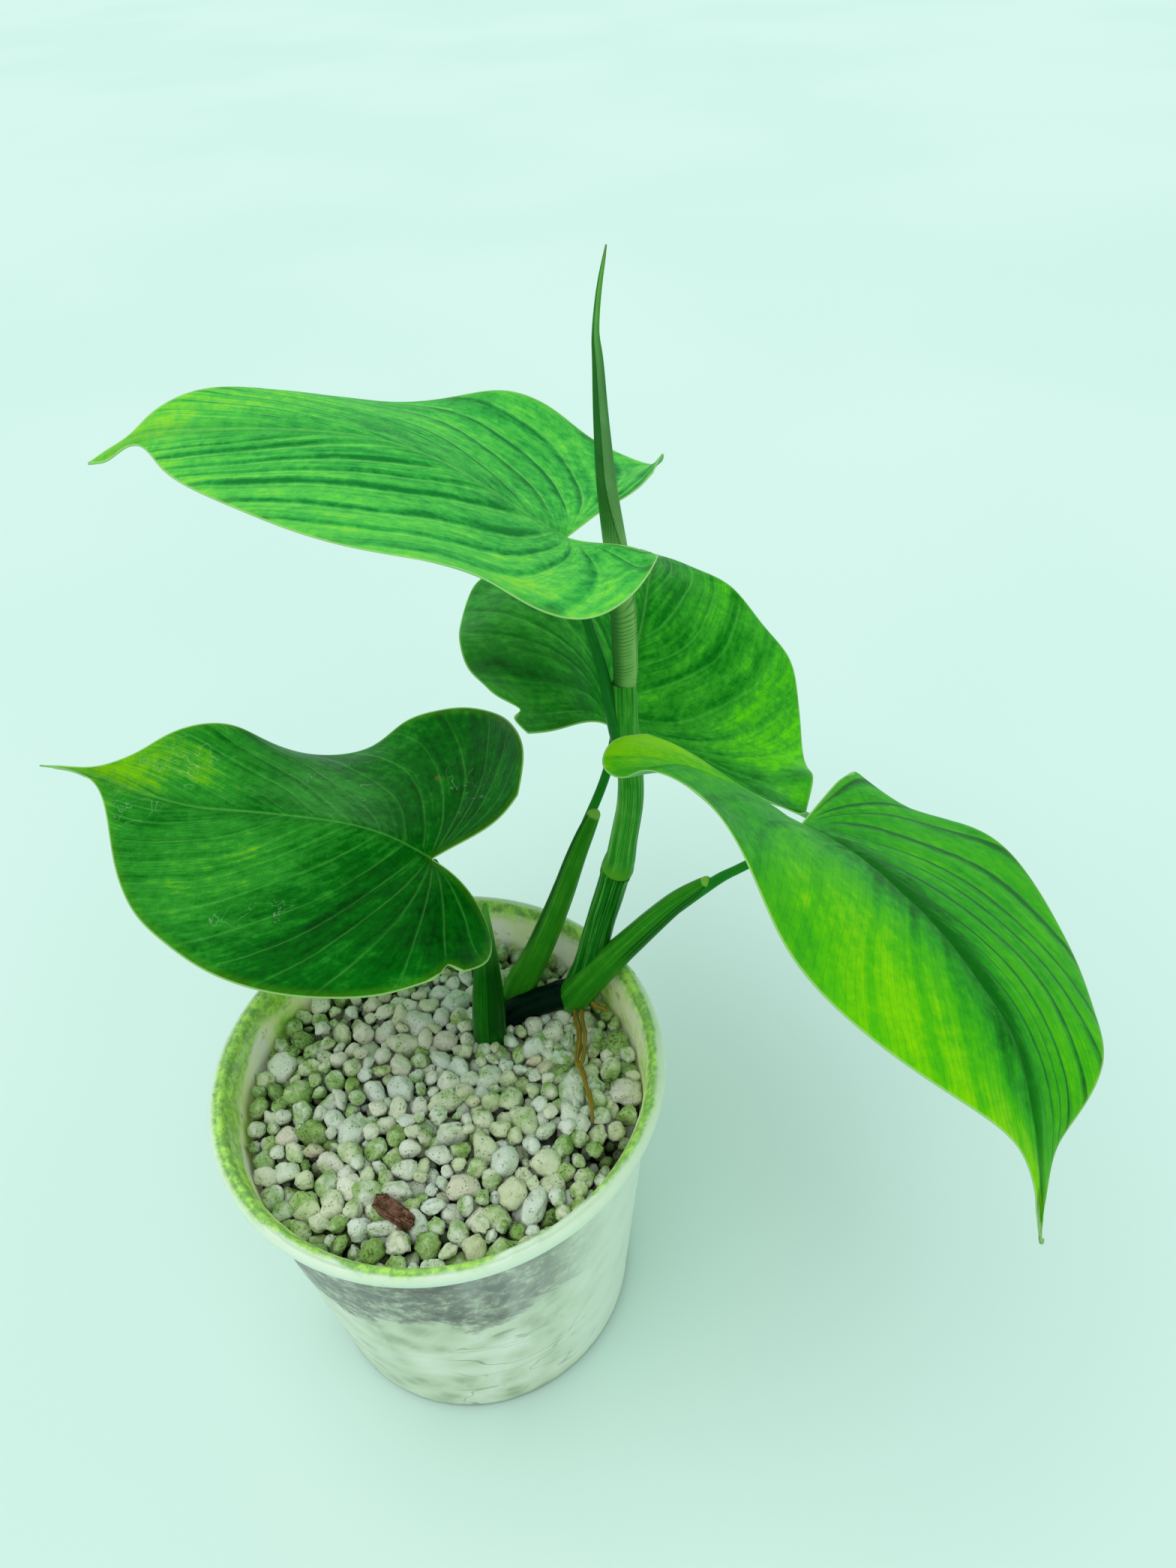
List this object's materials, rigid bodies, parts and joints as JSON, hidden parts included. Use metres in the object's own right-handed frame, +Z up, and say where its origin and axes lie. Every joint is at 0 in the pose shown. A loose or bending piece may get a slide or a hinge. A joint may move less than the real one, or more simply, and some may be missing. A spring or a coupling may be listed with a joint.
{
  "type": "potted philodendron",
  "caption": "Philodendron with heart-shaped leaves on arching stalks and a rolled new leaf, planted in pumice gravel in a thin round plastic pot.",
  "frame": {"origin": "centre of the pot's flat base, on the floor", "axes": "+Z up along the pot's axis; +Y away from the viewer of the picture; +X to the viewer's right, towards the leaf on the right"},
  "size_m": [0.2138, 0.2173, 0.2503],
  "materials": {
    "pot_plastic": "translucent thin plastic, algae stained",
    "gravel": "rough pumice",
    "pumice": "rough pumice with algae",
    "bark": "rough",
    "rhizome": "satin",
    "stem": "satin, fleshy",
    "sheath": "satin, fleshy",
    "petiole": "satin, fleshy",
    "young_leaf": "satin, fleshy",
    "leaf_dark": "glossy leaf",
    "leaf_bright": "semi-glossy leaf",
    "root": "matte"
  },
  "bodies": {
    "root": {"aerial_root_front": "root", "aerial_root_side": "root", "bark_chip": "bark", "gravel_bed": "gravel", "leaf_low_left": "leaf_dark", "leaf_rear": "leaf_bright", "leaf_right": "leaf_bright", "leaf_top_left": "leaf_bright", "main_stem": "stem", "petiole_low_left": "petiole", "petiole_rear": "petiole", "petiole_right": "petiole", "pot": "pot_plastic", "pumice_stone_01": "pumice", "pumice_stone_02": "pumice", "pumice_stone_03": "pumice", "pumice_stone_04": "pumice", "pumice_stone_05": "pumice", "pumice_stone_06": "pumice", "pumice_stone_07": "pumice", "pumice_stone_08": "pumice", "pumice_stone_09": "pumice", "pumice_stone_10": "pumice", "pumice_stone_11": "pumice", "pumice_stone_12": "pumice", "pumice_stone_13": "pumice", "pumice_stone_14": "pumice", "pumice_stone_15": "pumice", "pumice_stone_16": "pumice", "pumice_stone_17": "pumice", "pumice_stone_18": "pumice", "pumice_stone_19": "pumice", "pumice_stone_20": "pumice", "rhizome": "rhizome", "rolled_new_leaf": "young_leaf", "root_stub": "root", "upper_sheath_and_petiole": "sheath"}
  },
  "joints": []
}
